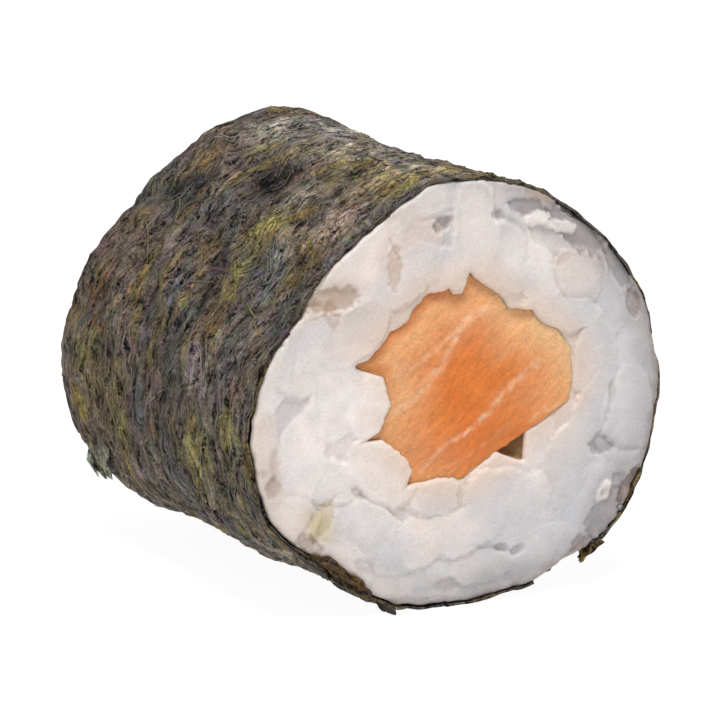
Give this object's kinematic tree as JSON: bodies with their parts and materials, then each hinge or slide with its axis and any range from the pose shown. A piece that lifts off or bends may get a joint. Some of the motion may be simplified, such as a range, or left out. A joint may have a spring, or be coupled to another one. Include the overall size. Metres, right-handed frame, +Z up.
{
  "type": "salmon maki",
  "caption": "Thin sushi roll slice lying on its side: rice round a stick of raw salmon, wrapped in a dark seaweed sheet.",
  "frame": {"origin": "bottom centre of the roll's bounding box, on the surface that the roll lies on", "axes": "+Z up, Y along the roll's axis with the cut face of the picture towards -Y, X across the roll"},
  "size_m": [0.0298, 0.0288, 0.0282],
  "materials": {
    "seaweed": "moist, fibrous, faint sheen",
    "rice": "sticky, translucent white",
    "fish": "moist, translucent orange with pale fat lines"
  },
  "bodies": {
    "root": {"nori": "seaweed", "rice": "rice", "salmon": "fish"}
  },
  "joints": []
}
